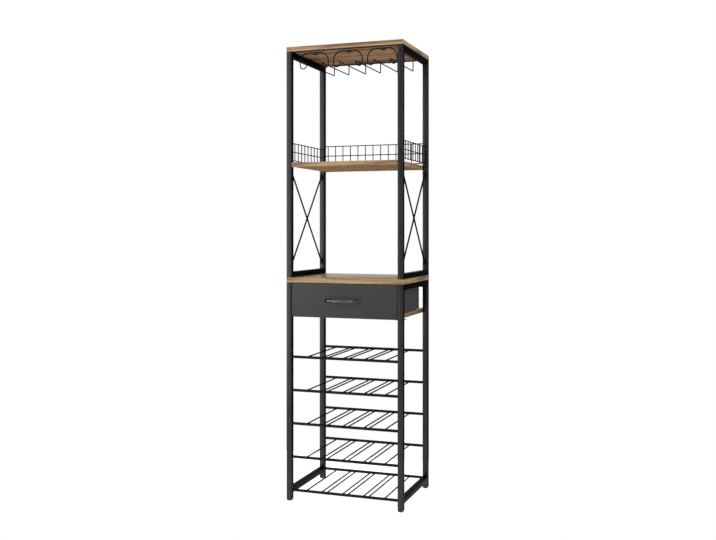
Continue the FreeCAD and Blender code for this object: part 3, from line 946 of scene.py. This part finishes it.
hanger_bends = half_bends + half_bends[::-1]
hanger = bent_wire(other_half + half_route[::-1], hanger_bends, hanger_wire, hanger_sides)
hangers = {"middle": hanger}
for side in sides:
    side_low, side_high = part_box(f"glass_hanger_{side}")
    hangers[side] = copy_of(hanger, ((side_low.x + side_high.x) / 2, 0, 0))
for side, piece in hangers.items():
    node = f"glass_hanger_{side}"
    hand_over(piece, node + "_wire", shaded_wire_coat, "wire_steel", node)
print(len(hangers), "glass hangers, lowest hook at", round(hook_z, 4))

# %% [markdown]
# ## Drawer handle
# A bow handle bent from round rod and plated in dark chrome. Its legs lean in towards the grip and
# flow into it in wide bends. Both ends flare and run on past the drawer's front, where a Bisect
# cuts them flat, so each foot sits on the front with a small oval pad.

# %% Bow handle
handle_rod = 0.010
handle_bend = 0.050
handle_centres = 0.128
handle_grip = 0.096
handle_sides = 32
foot_flare = 2.2
handle_low, handle_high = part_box("drawer_handle")
handle_z = (handle_low.z + handle_high.z) / 2
panel_y = handle_high.y
grip_y = handle_low.y + handle_rod / 2
handle_lean = (handle_centres - handle_grip) / 2 / (panel_y - grip_y)
root_x = handle_centres / 2 + handle_lean * handle_rod
handle_route = [
    Vector((-root_x, panel_y + handle_rod, handle_z)),
    Vector((-handle_grip / 2, grip_y, handle_z)),
    Vector((handle_grip / 2, grip_y, handle_z)),
    Vector((root_x, panel_y + handle_rod, handle_z)),
]
handle = bent_wire(handle_route, [handle_bend, handle_bend], handle_rod, handle_sides)
edit(handle)
for root in (handle_route[0], handle_route[-1]):
    pick(lambda part: (part.calc_center_median() - root).length < handle_rod / 4)
    bpy.ops.transform.resize(value=(foot_flare, foot_flare, foot_flare), center_override=root)
bpy.ops.mesh.select_all(action="SELECT")
bpy.ops.mesh.bisect(plane_co=(0, panel_y, 0), plane_no=(0, 1, 0), use_fill=True, clear_outer=True)
bpy.ops.object.mode_set(mode="OBJECT")
hand_over(handle, "drawer_handle_bow", dark_chrome, "handle_chrome", "drawer_handle")
print("handle", round(handle_centres * 1000), "mm between its feet")

# %% [markdown]
# ## Brace rods
# Two thin rods cross in each upper side frame: the falling one is whole, and the rising one is cut
# in two and welded to it. Each end is welded to a flat tab that is screwed to a post. A rod is a
# round bar whose ends spread into their welds, at the tabs and at the crossing. A tab is a block
# with rounded corners.

# %% Crossed braces
brace_rod = 0.006
rod_sides = 20
rod_inset = 0.005
tab_width = 0.014
tab_height = 0.027
tab_thickness = 0.0025
tab_round = 0.003


def brace_tab(place):
    tab = new_block((tab_width, tab_thickness, tab_height), place)
    edit(tab, "EDGE")
    pick(lambda part: abs(run_of(part).y) > nearly, "edges")
    bpy.ops.mesh.bevel(offset=tab_round, segments=4, affect="EDGES")
    bpy.ops.object.mode_set(mode="OBJECT")
    return tab


def brace(side, rising):
    node = f"brace_{side}_{'rising' if rising else 'falling'}"
    low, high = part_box(node)
    middle = (low + high) / 2
    low_z, high_z = low.z + tab_height / 2, high.z - tab_height / 2
    front_z, rear_z = (low_z, high_z) if rising else (high_z, low_z)
    front_tab = brace_tab(Vector((middle.x, low.y + tab_thickness / 2, front_z)))
    rear_tab = brace_tab(Vector((middle.x, high.y - tab_thickness / 2, rear_z)))
    outward = (tab_height / 2 - rod_inset) * (-1 if rising else 1)
    start = Vector((middle.x, low.y, front_z + outward))
    end = Vector((middle.x, high.y, rear_z - outward))
    along = (end - start).normalized()
    start += along * (tab_thickness / along.y)
    end -= along * (tab_thickness / along.y)
    pieces = [front_tab, rear_tab]
    if rising:
        half_gap = along * (brace_rod / 2)
        pieces.append(welded_wire(start, middle - half_gap, brace_rod, rod_sides))
        pieces.append(welded_wire(middle + half_gap, end, brace_rod, rod_sides))
    else:
        pieces.append(welded_wire(start, end, brace_rod, rod_sides))
    hand_over(joined(pieces), node + "_rod", shaded_wire_coat, "wire_steel", node)


for side in sides:
    for rising in (True, False):
        brace(side, rising)
print("four braces")

# %% [markdown]
# ## Feet
# A moulded plug closes each post. Its head has the tube's outline and a domed underside, so the
# tower can be slid over a floor. A cube with rounded upright edges is the head. Its lower face is
# extruded and drawn in step by step along a quarter circle, and its upper face is inset and
# extruded into the stem inside the tube.

# %% Post feet
foot_head = 0.010
foot_dome = 0.007
dome_steps = 7
stem_inset = 0.0017

foot_names = [f"foot_{row}_{side}" for row in rows for side in sides]
foot_low, foot_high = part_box(foot_names[0])
foot_width = foot_high.x - foot_low.x
foot_top = foot_low.z + foot_head
dome_top = foot_low.z + foot_dome
foot_middle = (foot_low + foot_high) / 2
foot_middle.z = (dome_top + foot_top) / 2
foot = new_block((foot_width, foot_width, foot_top - dome_top), foot_middle)
edit(foot, "EDGE")
pick(lambda part: abs(run_of(part).z) > nearly, "edges")
bpy.ops.mesh.bevel(offset=tube_corner, segments=corner_steps, affect="EDGES")
bpy.ops.mesh.select_mode(type="FACE")
pick(lambda part: part.normal.z > nearly)
bpy.ops.mesh.inset(thickness=stem_inset)
stem_height = foot_high.z - foot_top
bpy.ops.mesh.extrude_region_move(TRANSFORM_OT_translate={"value": (0, 0, stem_height)})
pick(lambda part: part.normal.z < -nearly)
step_turn = math.pi / 2 / dome_steps
half_width = foot_width / 2
for step in range(dome_steps):
    drop = foot_dome * (math.sin((step + 1) * step_turn) - math.sin(step * step_turn))
    before = half_width - foot_dome * (1 - math.cos(step * step_turn))
    after = half_width - foot_dome * (1 - math.cos((step + 1) * step_turn))
    narrower = (after / before, after / before, 1)
    bpy.ops.mesh.extrude_region_move(TRANSFORM_OT_translate={"value": (0, 0, -drop)})
    bpy.ops.transform.resize(value=narrower, center_override=foot_middle)
bpy.ops.object.mode_set(mode="OBJECT")
feet = [foot]
for node in foot_names[1:]:
    feet.append(copy_of(foot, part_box(node)[0] - foot_low))
for node, piece in zip(foot_names, feet):
    hand_over(piece, node + "_plug", foot_plastic, "foot_plastic", node)
print(len(feet), "feet")

# %% [markdown]
# ## Screws and bolts
# The bolts have low button heads with a hexagon socket, the wood screws pan heads with a cross.
# Both start as a short cylinder: a rounded bevel makes the dome, the underside is inset and
# extruded into the shank, and a Boolean cuts the socket. One of each is modelled and copied to its
# seats. Shanks are short and have no thread, because they are always hidden.

# %% Screw heads and their sockets
head_sides = 28
dome_share = 0.7
cross_arm = 0.28


def headed_screw(head, head_height, shank, length):
    """A screw that points down: its head stands on z = 0 and its shank hangs below."""
    clear_selection()
    bpy.ops.mesh.primitive_cylinder_add(
        vertices=head_sides, radius=head / 2, depth=head_height, location=(0, 0, head_height / 2)
    )
    piece = bpy.context.object
    settle(piece)
    edit(piece, "EDGE")
    pick(lambda part: min(vert.co.z for vert in part.verts) > head_height / 2, "edges")
    bpy.ops.mesh.bevel(offset=head_height * dome_share, segments=4, affect="EDGES")
    bpy.ops.mesh.select_mode(type="FACE")
    pick(lambda part: part.normal.z < -nearly)
    bpy.ops.mesh.inset(thickness=(head - shank) / 2)
    bpy.ops.mesh.extrude_region_move(TRANSFORM_OT_translate={"value": (0, 0, -length)})
    bpy.ops.object.mode_set(mode="OBJECT")
    return piece


def cut_by(piece, cutter):
    apply_modifier(piece, "BOOLEAN", operation="DIFFERENCE", object=cutter, solver="EXACT")
    bpy.data.objects.remove(cutter)


def hexagon_socket(piece, head_height, width):
    corner_radius = width / 2 / math.cos(math.pi / 6)
    clear_selection()
    bpy.ops.mesh.primitive_cylinder_add(
        vertices=6, radius=corner_radius, depth=head_height, location=(0, 0, head_height)
    )
    cutter = bpy.context.object
    settle(cutter)
    cut_by(piece, cutter)


def cross_recess(piece, head_height, width):
    arm = width * cross_arm
    for size in ((width, arm, head_height), (arm, width, head_height)):
        cut_by(piece, new_block(size, (0, 0, head_height)))


print("heads with", head_sides, "sides")

# %% One button head bolt, one joint bolt and one pan head screw
bolt_head = 0.009
bolt_head_height = 0.0014
bolt_shank = 0.005
bolt_socket = 0.0032
joint_head = 0.011
joint_head_height = 0.004
joint_shank = 0.006
joint_socket = 0.005
wood_head = 0.008
wood_head_height = 0.0018
wood_shank = 0.004
wood_cross = 0.0042
shown_shank = 0.006

button_bolt = headed_screw(bolt_head, bolt_head_height, bolt_shank, shown_shank)
hexagon_socket(button_bolt, bolt_head_height, bolt_socket)
joint_bolt = headed_screw(joint_head, joint_head_height, joint_shank, shown_shank)
hexagon_socket(joint_bolt, joint_head_height, joint_socket)
pan_screw = headed_screw(wood_head, wood_head_height, wood_shank, shown_shank)
cross_recess(pan_screw, wood_head_height, wood_cross)
print("heads", bolt_head, joint_head, "and", wood_head, "m across")

# %% [markdown]
# ### Seats
# A seat is the place where a head rests and the direction in which its shank points. The places
# come from the pieces that each screw holds, so a screw follows when the frame changes.

# %% Rack bolts and shelf screws
signs = (-1, 1)


def at_seats(model, seats, name, node):
    """Copies of one screw, each turned so that its shank runs along the seat's axis."""
    copies = []
    for seat, axis in seats:
        piece = copy_of(model)
        piece.location = seat
        piece.rotation_euler = (-z_axis).rotation_difference(axis).to_euler()
        settle(piece)
        copies.append(piece)
    hand_over(joined(copies), name, screw_steel, "fastener_steel", node)


def middle_of(node):
    low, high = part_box(node)
    return (low + high) / 2


side_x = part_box("counter_board")[1].x
front_post_y = middle_of("lower_post_front_left").y
rear_post_y = middle_of("lower_post_rear_left").y


def side_seat(sign, post_y, node):
    """A seat on a post's outer side, level with the middle of a node."""
    return Vector((sign * side_x, post_y, middle_of(node).z)), x_axis * -sign


rack_seats = []
for node in rack_names:
    for post_y in (front_post_y, rear_post_y):
        rack_seats += [side_seat(sign, post_y, node) for sign in signs]
shelf_seats = []
for sign in signs:
    shelf_seats.append(side_seat(sign, front_post_y, "upper_shelf"))
    shelf_seats.append(side_seat(sign, rear_post_y, "upper_shelf"))
    shelf_seats.append(side_seat(sign, rear_post_y, "drawer_shelf"))
at_seats(button_bolt, rack_seats, "rack_button_bolts", "rack_bolts")
at_seats(button_bolt, shelf_seats, "shelf_button_screws", "shelf_screws")
print(len(rack_seats), "rack bolts,", len(shelf_seats), "shelf screws")

# %% Brace screws, top board screws and frame bolts
tab_screw_inset = 0.006
side_screw_span = 0.200
brace_seats = []
for side in sides:
    low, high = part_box(f"brace_{side}_rising")
    tab_x = (low.x + high.x) / 2
    for screw_z in (low.z + tab_height - tab_screw_inset, high.z - tab_height + tab_screw_inset):
        brace_seats.append((Vector((tab_x, low.y + tab_thickness, screw_z)), -y_axis))
        brace_seats.append((Vector((tab_x, high.y - tab_thickness, screw_z)), y_axis))
at_seats(button_bolt, brace_seats, "brace_button_screws", "brace_screws")

top_seats = []
frame_seats = []
for side in sides:
    top_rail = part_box(f"upper_rail_top_{side}")
    counter_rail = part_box(f"lower_rail_top_{side}")
    rail_middle = (top_rail[0] + top_rail[1]) / 2
    for sign in signs:
        screw_y = rail_middle.y + sign * side_screw_span / 2
        top_seats.append((Vector((rail_middle.x, screw_y, top_rail[0].z)), z_axis))
        frame_seats.append((Vector((rail_middle.x, screw_y, counter_rail[0].z)), z_axis))
at_seats(pan_screw, top_seats, "top_board_pan_screws", "top_board_screws")
at_seats(joint_bolt, frame_seats, "frame_button_bolts", "frame_joint_bolts")
print(len(brace_seats), "brace screws,", len(top_seats), "top screws,", len(frame_seats), "bolts")

# %% Small wood screws
bracket_thickness = 0.002
bracket_screw_inset = 0.012
clip_low, clip_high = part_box("glass_hanger_clips")
strip_low, strip_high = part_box("top_front_strip")
bracket_low, bracket_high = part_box("drawer_shelf_brackets")
hanger_xs = [middle_of(f"glass_hanger_{name}").x for name in ("left", "middle", "right")]
clip_screw_y = (front_y + hanger_wire / 2 + clip_high.y) / 2
strip_y = (strip_low.y + strip_high.y) / 2
small_places = []
for hanger_x in hanger_xs:
    small_places.append((hanger_x, clip_screw_y, clip_low.z))
    small_places.append((hanger_x, strip_y, strip_low.z))
for left_x, right_x in zip(hanger_xs, hanger_xs[1:]):
    small_places.append(((left_x + right_x) / 2, rear_y, bar_low.z))
bracket_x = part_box("drawer_shelf")[1].x - bracket_screw_inset
bracket_y = (bracket_low.y + bracket_high.y) / 2
for sign in signs:
    small_places.append((sign * bracket_x, bracket_y, bracket_high.z - bracket_thickness))
small_seats = [(Vector(place), z_axis) for place in small_places]
at_seats(pan_screw, small_seats, "small_pan_screws", "small_wood_screws")
print(len(small_seats), "small screws")

# %% Drawer screws
handle_screw_grip = 0.008
screw_low, screw_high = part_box("drawer_back_screws")
back_y = middle_of("drawer_back").y
back_screw_x = screw_high.x - wood_head_height
back_seats = []
for sign in signs:
    for screw_z in (screw_low.z + wood_head / 2, screw_high.z - wood_head / 2):
        back_seats.append((Vector((sign * back_screw_x, back_y, screw_z)), x_axis * -sign))
at_seats(pan_screw, back_seats, "drawer_pan_screws", "drawer_back_screws")

panel_back_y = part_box("drawer_front")[1].y
handle_screw_x = handle_centres / 2 - handle_lean * handle_screw_grip / 2
handle_places = [Vector((sign * handle_screw_x, panel_back_y, handle_z)) for sign in signs]
handle_seats = [(place, -y_axis) for place in handle_places]
at_seats(pan_screw, handle_seats, "handle_pan_screws", "handle_screws")
for model in (button_bolt, pan_screw, joint_bolt):
    bpy.data.objects.remove(model)
print(len(back_seats), "screws in the drawer's back,", len(handle_seats), "in its handle")

# %% [markdown]
# ## Pieces that keep their frame shape
# The dowels inside the drawer's corners and the nuts inside the rails are right as they are, so
# they only get their finish.

# %% Finish on the remaining nodes
for node, finish in (("drawer_dowels", dowel_beech), ("frame_joint_nuts", nut_zinc)):
    for place in frame["nodes"][node].material_slots:
        place.material = finish
print("dowels and nuts coated")

# %% [markdown]
# ## Finish
# Dressing must not change the size of the object. The script ends with the selection cleared.

# %% Clear the selection
clear_selection()
